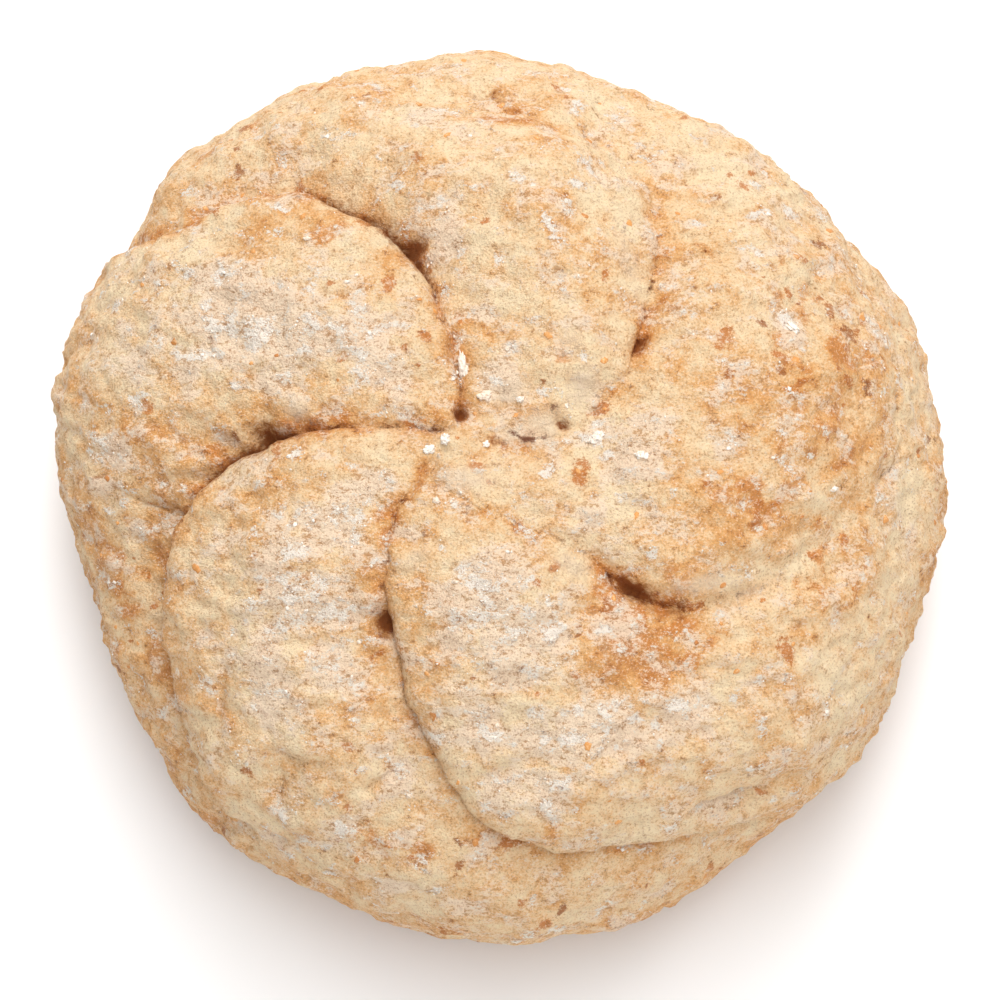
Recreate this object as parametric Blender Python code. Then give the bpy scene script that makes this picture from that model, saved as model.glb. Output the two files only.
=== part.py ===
"""A wholemeal kaiser roll: one solid of bread on a flat foot, its crown folded into a pinwheel of five lobes.

Run it with blender --background --python part.py, or from Blender's text editor. Metres, +Z up.
The origin is at the middle of the flat foot. The dough is drawn on a flat sheet, unrolled from the top
of the crown down the flank: creases are lines on that sheet, and the relief beside them is laid over a
round body.
"""

import math

import bmesh
import bpy
import numpy as np
from mathutils import Vector, noise

MM = 0.001

# The round body before it is folded: a full crown over a waist, and a flank that turns in to the foot.
WAIST_RADIUS = 48.3 * MM
CROWN_HEIGHT = 48.5 * MM
WAIST_HEIGHT = 19.0 * MM
FOOT_RADIUS = 38.0 * MM
CROWN_POWER = 2.25
FLANK_POWER = 2.2
PROFILE_STEPS = 400
UNROLL_STEPS = 60

# A hand-shaped roll isn't round: waves round the waist, how far each swells, and the bearing of a crest.
# The first shifts the waist to one side of the crown.
WAIST_WAVES = (
    (1, 1.6 * MM, 231.0),
    (2, 1.6 * MM, 135.0),
    (3, 1.2 * MM, 13.0),
    (4, 0.3 * MM, 3.0),
    (5, 0.3 * MM, 18.0),
    (6, 0.5 * MM, 32.0),
    (7, 0.35 * MM, 20.0),
    (8, 0.4 * MM, 8.0),
    (12, 0.3 * MM, 22.0),
)

# The folds meet at the hub, a little off the middle of the body, in a shallow dip.
HUB = np.array((-5.0 * MM, 2.2 * MM))
HUB_DIP = 1.6 * MM
HUB_DIP_RADIUS = 12.0 * MM

# The lobes swell between the folds. The step from one lobe up to the next dies away over a shorter way,
# and that at a tuck over a shorter one still.
LOBE_SWELL = 3.0 * MM
LOBE_SWELL_WIDTH = 9.0 * MM
FOLD_STEP_WIDTH = 8.0 * MM
TUCK_STEP_WIDTH = 4.0 * MM
WIDEST = 2.5 * LOBE_SWELL_WIDTH

# How much of the valleys between the lobes is left at the rim.
RIM_SHARE = 0.4

# How a crease rounds off at its bottom, and how far its line wanders.
CREASE_SOFTNESS = 0.06
WANDER = 0.35 * MM
WANDER_WAVE = 5.0 * MM
RUN_ON_POINTS = 29

# How far down a crease its edge is seen from above, as a share of its depth.
EDGE_SHARE = 0.35

# Lumps of the crust, as wavelength and height, and how far above the foot they die away.
LUMPS = ((24.0 * MM, 0.9 * MM), (9.0 * MM, 0.45 * MM))
SETTLE = 9.0 * MM

# The mesh: rings of points from the top to the waist and on to the foot, drawn in at the creases.
CROWN_RINGS = 34
FLANK_RINGS = 9
DRAW_IN_POWER = 1.6
DRAW_IN_WIDTH = 4.0 * MM

CRUST_COLOUR = (0.72, 0.52, 0.30, 1.0)
CRUST_ROUGHNESS = 0.85


def polar(reach, bearing):
    """A point at a reach in millimetres and a bearing in degrees from the hub, seen from above."""
    angle = math.radians(bearing)
    return HUB + reach * MM * np.array((math.cos(angle), math.sin(angle)))


def bezier(*corners, count=90):
    """A smooth line from the first corner to the last."""
    t = np.linspace(0.0, 1.0, count)[:, None]
    while len(corners) > 1:
        corners = [(1.0 - t) * near + t * far for near, far in zip(corners, corners[1:])]
    return corners[0]


def profile():
    """The body's half section: arc length from the top, radius, height and outward normal."""
    turn = np.linspace(0.0, 0.5 * math.pi, PROFILE_STEPS)
    crown, flank = 2.0 / CROWN_POWER, 2.0 / FLANK_POWER
    turn_in = WAIST_RADIUS - FOOT_RADIUS
    crown_radius = WAIST_RADIUS * np.sin(turn) ** crown
    radius = np.append(crown_radius, FOOT_RADIUS + turn_in * np.cos(turn[1:]) ** flank)
    rise = (CROWN_HEIGHT - WAIST_HEIGHT) * np.cos(turn) ** crown
    height = np.append(WAIST_HEIGHT + rise, WAIST_HEIGHT * (1.0 - np.sin(turn[1:]) ** flank))
    arc = np.append(0.0, np.cumsum(np.hypot(np.diff(radius), np.diff(height))))
    return arc, radius, height, -np.gradient(height, arc), np.gradient(radius, arc)


ARC, RADIUS, HEIGHT, NORMAL_OUT, NORMAL_UP = profile()
WAIST_ARC, FOOT_ARC = ARC[PROFILE_STEPS - 1], ARC[-1]


def waist_swell(bearing, arc):
    """How far the waves push the body out: not at the top, and in full from the waist down."""
    swell = sum(size * np.cos(count * (bearing - math.radians(crest))) for count, size, crest in WAIST_WAVES)
    return swell * np.clip(arc / WAIST_ARC, 0.0, 1.0) ** 2


def unroll(plan, lift):
    """Points of the crown, seen from above, as points of the sheet, given how far each is lifted."""
    radius = np.hypot(plan[:, 0], plan[:, 1])
    bearing = np.arctan2(plan[:, 1], plan[:, 0])
    arc = radius
    for _ in range(UNROLL_STEPS):
        body = np.interp(arc, ARC, RADIUS) + waist_swell(bearing, arc)
        seen = body + lift * np.interp(arc, ARC, NORMAL_OUT)
        arc = np.clip(arc + 0.5 * (radius - seen), 0.0, WAIST_ARC)
    return np.stack([arc * np.cos(bearing), arc * np.sin(bearing)], axis=1)


def lump(points, wave):
    """Smooth noise at points in space, between about -1 and 1."""
    return 2.0 * np.array([noise.noise(Vector(point)) for point in (points / wave).tolist()])


class Crease:
    """A line where dough meets dough. The dough on its left stands over the dough on its right.

    depth, rise, drop and lip are in millimetres at five places: the root, the neck just before the pit,
    the pit, a third of the way on to the rim, and the rim. They run out to nothing along the run-on past
    the rim. over and under are the widths of the two shoulders, and roundness is how full they are.
    """

    def __init__(self, plan, pit, depth, rise, drop, lip, over, under, roundness, run_on, valley, step_width):
        rim, last = len(plan) - 1, len(plan) - 1 + RUN_ON_POINTS
        along = np.arange(last + 1)
        stations = (0, 0.7 * pit, pit, pit + (rim - pit) / 3.0, rim, last)
        self.depth, self.rise, self.drop, self.lip = (
            MM * np.interp(along, stations, (*sizes, 0.0)) for sizes in (depth, rise, drop, lip)
        )
        self.fade = np.interp(along, (0, 6, rim, last), (0.0, 1.0, 0.7, 0.0))
        self.valley = valley * np.interp(along, (0, 8, pit, rim, last), (0.3, 1.0, 1.0, RIM_SHARE, 0.0))
        self.over, self.under, self.roundness = over * MM, under * MM, roundness
        self.step_width = step_width
        points = unroll(plan, LOBE_SWELL - (EDGE_SHARE * self.depth + self.valley)[: rim + 1])
        ahead = (points[-1] - points[-2]) / np.linalg.norm(points[-1] - points[-2])
        run_on *= MM * np.linspace(0.0, 1.0, RUN_ON_POINTS + 1)[1:, None]
        points = np.concatenate([points, points[-1] + run_on * ahead])
        ahead = np.gradient(points, axis=0)
        self.ahead = ahead / np.linalg.norm(ahead, axis=1)[:, None]
        wander = WANDER * lump(np.pad(points, ((0, 0), (0, 1))), WANDER_WAVE)[:, None]
        self.points = points + wander * np.stack([-self.ahead[:, 1], self.ahead[:, 0]], axis=1)

    def nearest(self, sheet, within):
        """Which points of the sheet lie within reach, how far off (left is plus), and the nearest."""
        low, high = self.points.min(axis=0) - within, self.points.max(axis=0) + within
        which = np.nonzero(((sheet > low) & (sheet < high)).all(axis=1))[0]
        closest = np.zeros(len(which), int)
        best = np.full(len(which), np.inf)
        for index, point in enumerate(self.points):
            reach = ((sheet[which] - point) ** 2).sum(axis=1)
            closer = reach < best
            closest[closer], best[closer] = index, reach[closer]
        close = best < within**2
        which, closest, distance = which[close], closest[close], np.sqrt(best[close])
        away = sheet[which] - self.points[closest]
        ahead = self.ahead[closest]
        side = np.where(ahead[:, 0] * away[:, 1] > ahead[:, 1] * away[:, 0], 1.0, -1.0)
        return which, side * distance, closest


def fold(root, bow, pit, leaves, arrives, rim, depth, rise, drop, lip, over, under, run_on, roundness=2.0,
         valley=1.0):
    """One fold of the pinwheel: from its root by the hub to a pit, then round its lobe to the rim.

    root is an offset from the hub, pit and rim are a reach and a bearing, bow is how far the first run
    bends to its left, and leaves and arrives are a heading and a pull for the second. valley is how much
    of the lobes' swelling is missing along it.
    """
    start, corner, end = HUB + MM * np.array(root), polar(*pit), polar(*rim)
    along = corner - start
    left = np.array((-along[1], along[0])) / np.linalg.norm(along)
    inner = bezier(start, 0.5 * (start + corner) + 2.0 * bow * MM * left, corner, count=50)
    leave, arrive = polar(leaves[1], leaves[0]) - HUB, polar(arrives[1], arrives[0]) - HUB
    outer = bezier(corner, corner + leave, end - arrive, end)
    plan = np.concatenate([inner, outer[1:]])
    sizes = (depth, rise, drop, lip, over, under, roundness, run_on)
    return Crease(plan, len(inner) - 1, *sizes, valley * LOBE_SWELL, FOLD_STEP_WIDTH)


def tuck(start, middle, end, depth, rise=0.0, drop=0.0, over=3.5, under=4.5):
    """A short crease through three points, each a reach and a bearing, that fades out at both ends."""
    start, middle, end = polar(*start), polar(*middle), polar(*end)
    plan = bezier(start, 2.0 * middle - 0.5 * (start + end), end, count=40)
    sizes = ((0.0, 0.8 * size, size, 0.9 * size, 0.3 * size) for size in (depth, rise, drop, 0.0))
    return Crease(plan, 18, *sizes, over, under, 2.0, 1.0, 0.0, TUCK_STEP_WIDTH)


FOLDS = (
    # The upper left lobe over the tail of the top one.
    fold(root=(0.0, 0.3), bow=-1.6, pit=(20.6, 104), leaves=(139, 24.5), arrives=(177, 13), rim=(45.4, 148.5),
         depth=(1.6, 2.4, 4.4, 3.4, 2.2), rise=(0.0, 0.3, 0.6, 1.0, 0.9), drop=(0.0, 0.6, 1.6, 2.2, 1.4),
         lip=(0.0, 0.3, 0.8, 0.8, 0.4), over=3.4, under=3.4, run_on=16),
    # The lower left lobe over the tail of the upper left one.
    fold(root=(0.0, 0.0), bow=-0.9, pit=(20.4, 182), leaves=(200, 22), arrives=(300, 8), rim=(47.4, 235.3),
         depth=(1.4, 2.2, 4.6, 3.8, 2.6), rise=(0.0, 0.2, 0.8, 1.3, 1.2), drop=(0.0, 0.2, 1.4, 2.4, 2.2),
         lip=(0.0, 0.3, 0.8, 1.0, 0.6), over=3.6, under=3.2, run_on=14),
    # The bottom lobe over the tail of the lower left one.
    fold(root=(-1.9, -2.4), bow=-2.6, pit=(23.5, 252), leaves=(281, 26), arrives=(20, 22.5), rim=(52.6, 308),
         depth=(1.4, 2.0, 3.4, 2.8, 2.0), rise=(0.0, 0.3, 0.8, 1.2, 0.9), drop=(0.0, 0.4, 1.4, 1.6, 1.0),
         lip=(0.0, 0.3, 0.6, 0.9, 0.6), over=3.4, under=3.0, run_on=14),
    # The right lobe over the tail of the bottom one.
    fold(root=(-1.9, -8.2), bow=1.2, pit=(24.2, 317), leaves=(277, 7.8), arrives=(119, 40.6), rim=(43.7, 22.5),
         depth=(0.6, 1.0, 2.6, 1.0, 0.5), rise=(0.0, 0.2, 0.6, 0.4, 0.1), drop=(0.0, 0.2, 0.8, 0.3, 0.2),
         lip=(0.0, 0.2, 0.4, 0.0, 0.0), over=5.5, under=3.0, run_on=6, roundness=1.25, valley=0.4),
    # The top lobe over the tail of the right one.
    fold(root=(0.4, 1.3), bow=-5.6, pit=(22, 25), leaves=(73, 41), arrives=(119, 15), rim=(45, 102),
         depth=(0.8, 1.2, 2.6, 1.5, 0.6), rise=(0.0, 0.3, 0.6, 0.5, 0.2), drop=(0.0, 0.3, 0.8, 0.8, 0.3),
         lip=(0.0, 0.2, 0.5, 0.0, 0.0), over=5.0, under=5.5, run_on=8, roundness=1.45, valley=0.8),
)

TUCKS = (
    # Left side, where the upper left lobe's tail goes down past the lower left one.
    tuck((41.3, 188), (36.1, 193), (32.1, 200), depth=1.6, rise=0.6, drop=0.6),
    tuck((42.1, 161), (44.8, 165), (47.2, 170), depth=0.9, over=5.0, under=5.0),
    tuck((39.3, 201), (38.1, 202), (36.7, 204), depth=0.7, over=2.0, under=2.5),
    tuck((41.4, 207), (40.1, 209), (38.8, 211), depth=0.7, over=2.0, under=2.5),
    tuck((45.4, 219), (44.1, 221), (42.8, 222), depth=0.7, over=2.0, under=2.5),
    # Top, where the top lobe turns down to the rim.
    tuck((38.3, 92), (40.6, 99), (38.1, 107), depth=1.3, rise=0.4, drop=0.4),
    tuck((39.2, 73), (39.6, 84), (40.4, 95), depth=2.2, rise=0.3, drop=0.6),
    # Right side, on the tails of the right and top lobes.
    tuck((37.7, 32), (36.2, 35), (34.9, 38), depth=1.1, over=2.5, under=3.0),
    tuck((53.0, 359), (49.4, 356), (48.1, 353), depth=1.6, rise=0.4, drop=0.6),
    # Bottom, in the toe of the lower left lobe and on the bottom lobe.
    tuck((42.7, 231), (40.4, 228), (37.5, 225), depth=1.0),
    tuck((41.7, 238), (41.0, 243), (39.8, 248), depth=1.4, rise=0.5, drop=0.4),
    tuck((42.6, 242), (44.4, 243), (46.4, 243), depth=1.0, over=2.5, under=3.0),
    tuck((42.2, 254), (40.4, 257), (37.5, 261), depth=1.3, rise=0.4, drop=0.4),
    tuck((49.6, 300), (50.5, 308), (53.0, 316), depth=2.4, over=6.0, under=6.0),
)


def rounded_shoulder(distance, width, roundness):
    """0 at the crease, 1 beyond its shoulder, which is straight at roundness 1, a quarter circle at 2."""
    across = np.clip(np.hypot(distance / width, CREASE_SOFTNESS), 0.0, 1.0)
    return (1.0 - (1.0 - across) ** roundness) ** (1.0 / roundness)


def draw_in(sheet):
    """Moves the points of the sheet towards the creases, so that the mesh has edges where the dough bends."""
    for crease in FOLDS + TUCKS:
        which, distance, closest = crease.nearest(sheet, DRAW_IN_WIDTH)
        pull = crease.fade[closest] * (1.0 - (np.abs(distance) / DRAW_IN_WIDTH) ** (DRAW_IN_POWER - 1.0))
        sheet[which] += pull[:, None] * (crease.points[closest] - sheet[which])
    return sheet


def folded(sheet):
    """How far the dough stands out from the bare body, and where the lips slide each point to."""
    groove, level, swell = np.zeros(len(sheet)), np.zeros(len(sheet)), np.full(len(sheet), LOBE_SWELL)
    slid = sheet.copy()
    for crease in FOLDS + TUCKS:
        which, distance, closest = crease.nearest(sheet, WIDEST)
        over = distance > 0.0
        width = np.where(over, crease.over, crease.under)
        shoulder = rounded_shoulder(distance, width, crease.roundness)
        groove[which] = np.maximum(groove[which], crease.depth[closest] * (1.0 - shoulder))
        step = np.where(over, crease.rise[closest], -crease.drop[closest])
        level[which] += step * shoulder * np.exp(-((distance / crease.step_width) ** 2))
        across = np.clip(distance / crease.over, 0.0, 1.0)
        slide = 6.75 * crease.lip[closest] * across * (1.0 - across) ** 2
        inwards = crease.points[closest] - sheet[which]
        slid[which] += inwards * (slide / np.maximum(np.abs(distance), 1e-6))[:, None]
        valley = crease.valley[closest] * np.exp(-((distance / LOBE_SWELL_WIDTH) ** 2))
        swell[which] *= 1.0 - valley / LOBE_SWELL
    dip = HUB_DIP * np.exp(-((sheet - HUB) ** 2).sum(axis=1) / HUB_DIP_RADIUS**2)
    bare = on_body(sheet, 0.0)
    lumps = sum(size * lump(bare, wave) for wave, size in LUMPS)
    return swell - dip - groove + level + lumps, slid


def on_body(sheet, lift):
    """The sheet's points laid over the round body and lifted off it."""
    arc, bearing = np.hypot(sheet[:, 0], sheet[:, 1]), np.arctan2(sheet[:, 1], sheet[:, 0])
    lift = lift * np.clip((FOOT_ARC - arc) / SETTLE, 0.0, 1.0)
    radius = np.interp(arc, ARC, RADIUS) + waist_swell(bearing, arc) + lift * np.interp(arc, ARC, NORMAL_OUT)
    height = np.interp(arc, ARC, HEIGHT) + lift * np.interp(arc, ARC, NORMAL_UP)
    return np.stack([radius * np.cos(bearing), radius * np.sin(bearing), np.maximum(height, 0.0)], axis=1)


def ring_lattice(arcs):
    """A disc of triangles on the flat sheet. Ring n has 6 n points, so they are even from middle to edge."""
    sheet, faces = [(0.0, 0.0)], []
    for ring, arc in enumerate(arcs[1:], start=1):
        first = 3 * ring * (ring - 1) + 1
        inner_first = 3 * (ring - 1) * (ring - 2) + 1 if ring > 1 else 0
        count, inner_count = 6 * ring, max(1, 6 * (ring - 1))
        for index in range(count):
            bearing = 2.0 * math.pi * index / count
            sheet.append((arc * math.cos(bearing), arc * math.sin(bearing)))
            sector, place = divmod(index, ring)
            outer, outer_next = first + index, first + (index + 1) % count
            inner = inner_first + (sector * (ring - 1) + place) % inner_count
            faces.append((inner, outer, outer_next))
            if place < ring - 1:
                inner_next = inner_first + (sector * (ring - 1) + place + 1) % inner_count
                faces.append((inner, outer_next, inner_next))
    return np.array(sheet), faces


def middle(points):
    """The middle of the box round the points."""
    return 0.5 * (points.min(axis=0) + points.max(axis=0))


def crust_material():
    """Pale baked crust, matt with flour."""
    material = bpy.data.materials.new("crust")
    material.use_nodes = True
    shader = material.node_tree.nodes["Principled BSDF"]
    shader.inputs["Base Color"].default_value = CRUST_COLOUR
    shader.inputs["Roughness"].default_value = CRUST_ROUGHNESS
    shader.inputs["Metallic"].default_value = 0.0
    material.diffuse_color = CRUST_COLOUR
    return material


def make_roll():
    """The roll in one solid: folded crown, flank and flat foot, centred over the origin."""
    crown_arcs = np.linspace(0.0, WAIST_ARC, CROWN_RINGS + 1)
    flank_arcs = np.linspace(WAIST_ARC, FOOT_ARC, FLANK_RINGS + 1)
    arcs = np.append(crown_arcs, flank_arcs[1:])
    sheet, faces = ring_lattice(arcs)
    lift, slid = folded(draw_in(sheet))
    points = on_body(slid, lift)
    foot_edge = range(len(points) - 6 * (len(arcs) - 1), len(points))
    points[foot_edge.start :, 2] = 0.0
    points[:, :2] -= middle(points)[:2]

    solid = bmesh.new()
    corners = [solid.verts.new(point) for point in points.tolist()]
    for face in faces:
        solid.faces.new([corners[index] for index in face])
    solid.faces.new([corners[index] for index in reversed(foot_edge)])
    bmesh.ops.recalc_face_normals(solid, faces=solid.faces)
    mesh = bpy.data.meshes.new("roll")
    solid.to_mesh(mesh)
    solid.free()
    mesh.materials.append(crust_material())
    roll = bpy.data.objects.new("roll", mesh)
    bpy.context.scene.collection.objects.link(roll)
    return roll


def clear_scene():
    for thing in list(bpy.data.objects):
        bpy.data.objects.remove(thing, do_unlink=True)


if __name__ == "__main__":
    clear_scene()
    make_roll()
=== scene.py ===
"""The looks of a wholemeal kaiser roll: a pale baked crust folded into five lobes, bran flakes and flour."""

import math
import random

import bmesh
import bpy
import numpy as np
from mathutils import Matrix, Vector, noise
from mathutils.bvhtree import BVHTree


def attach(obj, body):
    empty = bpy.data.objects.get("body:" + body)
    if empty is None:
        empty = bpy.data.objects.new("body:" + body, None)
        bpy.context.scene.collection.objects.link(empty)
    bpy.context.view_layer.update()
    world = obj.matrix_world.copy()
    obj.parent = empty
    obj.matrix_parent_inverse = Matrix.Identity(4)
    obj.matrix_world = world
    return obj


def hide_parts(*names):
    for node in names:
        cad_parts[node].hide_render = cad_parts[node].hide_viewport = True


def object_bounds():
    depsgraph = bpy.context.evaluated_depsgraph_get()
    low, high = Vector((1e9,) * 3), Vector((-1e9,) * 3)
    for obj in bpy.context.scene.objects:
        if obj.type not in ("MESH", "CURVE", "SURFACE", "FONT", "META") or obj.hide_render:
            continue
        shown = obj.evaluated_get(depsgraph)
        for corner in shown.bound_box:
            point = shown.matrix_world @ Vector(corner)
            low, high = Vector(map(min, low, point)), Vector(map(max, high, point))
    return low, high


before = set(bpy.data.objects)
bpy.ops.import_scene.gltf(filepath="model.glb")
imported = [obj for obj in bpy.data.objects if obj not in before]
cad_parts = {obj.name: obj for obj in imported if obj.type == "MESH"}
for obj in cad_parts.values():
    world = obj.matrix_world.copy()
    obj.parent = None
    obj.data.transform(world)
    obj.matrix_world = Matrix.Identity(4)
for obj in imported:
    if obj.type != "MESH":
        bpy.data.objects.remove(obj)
cad_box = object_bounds()


# ----------------------------------------------------------------------------------------------------
# The crust. It is the whole outside of the roll: one skin of wholemeal dough, folded in to the hub five
# times so that each lobe laps over the tail of the one before, dusted with flour and baked pale on a flat
# hearth. It is drawn on a flat sheet, from the top of the crown to under the foot, and laid over the body.
# ----------------------------------------------------------------------------------------------------

MM = 0.001

# The round body before it is folded.
WAIST_RADIUS = 48.3 * MM
CROWN_HEIGHT = 48.5 * MM
WAIST_HEIGHT = 19.0 * MM
FOOT_RADIUS = 38.0 * MM
CROWN_POWER = 2.25
FLANK_POWER = 2.2
PROFILE_STEPS = 400
UNROLL_STEPS = 60

# The waves round its waist: how many, how far each swells, and the bearing of a crest.
WAIST_WAVES = (
    (1, 1.6 * MM, 231.0),
    (2, 1.6 * MM, 135.0),
    (3, 1.2 * MM, 13.0),
    (4, 0.3 * MM, 3.0),
    (5, 0.3 * MM, 18.0),
    (6, 0.5 * MM, 32.0),
    (7, 0.35 * MM, 20.0),
    (8, 0.4 * MM, 8.0),
    (12, 0.3 * MM, 22.0),
)

# The hub where the folds meet, the swelling of the lobes between them, how far out a crease is felt, and
# the share of its valley that is left at the rim.
HUB = np.array((-5.0 * MM, 2.2 * MM))
HUB_DIP = 1.6 * MM
HUB_DIP_RADIUS = 12.0 * MM
LOBE_SWELL = 3.0 * MM
LOBE_SWELL_WIDTH = 9.0 * MM
FOLD_STEP_WIDTH = 8.0 * MM
TUCK_STEP_WIDTH = 4.0 * MM
WIDEST = 2.5 * LOBE_SWELL_WIDTH
RIM_SHARE = 0.4

# How a crease rounds off at its bottom, how its line wanders, as wavelength and size, and how many points
# carry it on past the rim.
CREASE_SOFTNESS = 0.02
WANDERS = ((5.0 * MM, 0.35 * MM), (1.7 * MM, 0.16 * MM))
RUN_ON_POINTS = 29

# How far down a crease its edge is seen from above, as a share of its depth.
EDGE_SHARE = 0.35

# A lip slides furthest a third of the way over its shoulder, where x (1 - x)^2 is 4/27. A shorter distance
# than the least one counts as that.
LIP_PEAK = 27.0 / 4.0
LEAST_DISTANCE = 0.001 * MM

# The narrow line of painted shade in a seam, the painted shade beside it, which is full in a crease this
# deep, and the wider, warmer painted shade over and under it.
SEAM_SHADE_WIDTH = 0.35 * MM
SHADE_WIDTH = 1.3 * MM
DEEP_CREASE = 5.0 * MM
CREASE_SHADE_WIDTHS = (1.2 * MM, 2.8 * MM)


def crust_profile():
    """The body's half section, top to foot and in under it: arc, radius, height and outward normal."""
    turn = np.linspace(0.0, 0.5 * math.pi, PROFILE_STEPS)
    crown, flank = 2.0 / CROWN_POWER, 2.0 / FLANK_POWER
    turn_in = (WAIST_RADIUS - FOOT_RADIUS) * np.cos(turn[1:]) ** flank
    radius = np.append(WAIST_RADIUS * np.sin(turn) ** crown, FOOT_RADIUS + turn_in)
    rise = (CROWN_HEIGHT - WAIST_HEIGHT) * np.cos(turn) ** crown
    height = np.append(WAIST_HEIGHT + rise, WAIST_HEIGHT * (1.0 - np.sin(turn[1:]) ** flank))
    arc = np.append(0.0, np.cumsum(np.hypot(np.diff(radius), np.diff(height))))
    out, up = -np.gradient(height, arc), np.gradient(radius, arc)
    under = np.linspace(0.0, FOOT_RADIUS, PROFILE_STEPS)[1:]
    arc = np.append(arc, arc[-1] + under)
    radius = np.append(radius, FOOT_RADIUS - under)
    height = np.append(height, 0.0 * under)
    return arc, radius, height, np.append(out, 0.0 * under), np.append(up, 0.0 * under - 1.0)


ARC, RADIUS, HEIGHT, NORMAL_OUT, NORMAL_UP = crust_profile()
WAIST_ARC = ARC[PROFILE_STEPS - 1]
FOOT_ARC = ARC[2 * PROFILE_STEPS - 2]


def waist_swell(bearing, arc):
    """How far the waves push the body out: in full from the waist to the foot, less over and under."""
    swell = sum(size * np.cos(count * (bearing - math.radians(crest))) for count, size, crest in WAIST_WAVES)
    under = np.clip((ARC[-1] - arc) / FOOT_RADIUS, 0.0, 1.0)
    return swell * np.clip(arc / WAIST_ARC, 0.0, 1.0) ** 2 * under


def spread(bearing, arc, lift):
    """How far from the middle a point of the sheet lies once it is lifted off the body."""
    return np.interp(arc, ARC, RADIUS) + waist_swell(bearing, arc) + lift * np.interp(arc, ARC, NORMAL_OUT)


def unroll(plan, lift):
    """Points of the crown, seen from above, as points of the sheet, given how far each is lifted."""
    radius = np.hypot(plan[:, 0], plan[:, 1])
    bearing = np.arctan2(plan[:, 1], plan[:, 0])
    arc = radius
    for _ in range(UNROLL_STEPS):
        arc = np.clip(arc + 0.5 * (radius - spread(bearing, arc, lift)), 0.0, WAIST_ARC)
    return np.stack([arc * np.cos(bearing), arc * np.sin(bearing)], axis=1)


def lay_over_body(sheet, lift):
    """The sheet's points laid over the round body and lifted off it."""
    arc, bearing = np.hypot(sheet[:, 0], sheet[:, 1]), np.arctan2(sheet[:, 1], sheet[:, 0])
    radius = spread(bearing, arc, lift)
    height = np.interp(arc, ARC, HEIGHT) + lift * np.interp(arc, ARC, NORMAL_UP)
    return np.stack([radius * np.cos(bearing), radius * np.sin(bearing), np.maximum(height, 0.0)], axis=1)


def lumps(points, wave, stretch=(1.0, 1.0, 1.0), start=(0.0, 0.0, 0.0)):
    """Smooth noise at points in space, between about -1 and 1, stretched along the axes."""
    places = points / (wave * np.array(stretch)) + np.array(start)
    return 2.0 * np.array([noise.noise(Vector(place)) for place in places.tolist()])


def from_hub(reach, bearing):
    """A point at a reach in millimetres and a bearing in degrees from the hub, seen from above."""
    angle = math.radians(bearing)
    return HUB + reach * MM * np.array((math.cos(angle), math.sin(angle)))


def bezier(*corners, count=90):
    """A smooth line from the first corner to the last."""
    t = np.linspace(0.0, 1.0, count)[:, None]
    while len(corners) > 1:
        corners = [(1.0 - t) * near + t * far for near, far in zip(corners, corners[1:])]
    return corners[0]


class Crease:
    """A line where dough meets dough. The dough on its left stands over the dough on its right.

    depth, rise, drop and lip are in millimetres at five places: the root, the neck just before the pit,
    the pit, a third of the way on to the rim, and the rim. They run out to nothing along the run-on past
    the rim. over and under are the widths of the two shoulders, and dark is how strong the painted shade
    in and beside it is, from 0 to 1, at the same five places.
    """

    def __init__(self, plan, pit, depth, rise, drop, lip, dark, over, under, roundness, run_on, valley,
                 step_width):
        rim, last = len(plan) - 1, len(plan) - 1 + RUN_ON_POINTS
        along = np.arange(last + 1)
        stations = (0, 0.7 * pit, pit, pit + (rim - pit) / 3.0, rim, last)
        self.depth, self.rise, self.drop, self.lip = (
            MM * np.interp(along, stations, (*sizes, 0.0)) for sizes in (depth, rise, drop, lip)
        )
        self.dark = np.interp(along, stations, (*dark, 0.0))
        self.fade = np.interp(along, (0, 6, rim, last), (0.0, 1.0, 0.7, 0.0))
        self.valley = valley * np.interp(along, (0, 8, pit, rim, last), (0.3, 1.0, 1.0, RIM_SHARE, 0.0))
        self.over, self.under, self.roundness, self.step_width = over * MM, under * MM, roundness, step_width
        points = unroll(plan, LOBE_SWELL - (EDGE_SHARE * self.depth + self.valley)[: rim + 1])
        ahead = (points[-1] - points[-2]) / np.linalg.norm(points[-1] - points[-2])
        run_on *= MM * np.linspace(0.0, 1.0, RUN_ON_POINTS + 1)[1:, None]
        points = np.concatenate([points, points[-1] + run_on * ahead])
        ahead = np.gradient(points, axis=0)
        self.ahead = ahead / np.linalg.norm(ahead, axis=1)[:, None]
        wander = sum(size * lumps(np.pad(points, ((0, 0), (0, 1))), wave) for wave, size in WANDERS)
        self.points = points + wander[:, None] * np.stack([-self.ahead[:, 1], self.ahead[:, 0]], axis=1)

    def nearest(self, sheet, within):
        """The sheet's points that lie near, how far off (left is plus), and the crease's nearest points."""
        low, high = self.points.min(axis=0) - within, self.points.max(axis=0) + within
        which = np.nonzero(((sheet > low) & (sheet < high)).all(axis=1))[0]
        closest = np.zeros(len(which), int)
        best = np.full(len(which), np.inf)
        for index, point in enumerate(self.points):
            reach = ((sheet[which] - point) ** 2).sum(axis=1)
            closer = reach < best
            closest[closer], best[closer] = index, reach[closer]
        close = best < within**2
        which, closest, distance = which[close], closest[close], np.sqrt(best[close])
        away = sheet[which] - self.points[closest]
        ahead = self.ahead[closest]
        side = np.where(ahead[:, 0] * away[:, 1] > ahead[:, 1] * away[:, 0], 1.0, -1.0)
        return which, side * distance, closest


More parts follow.
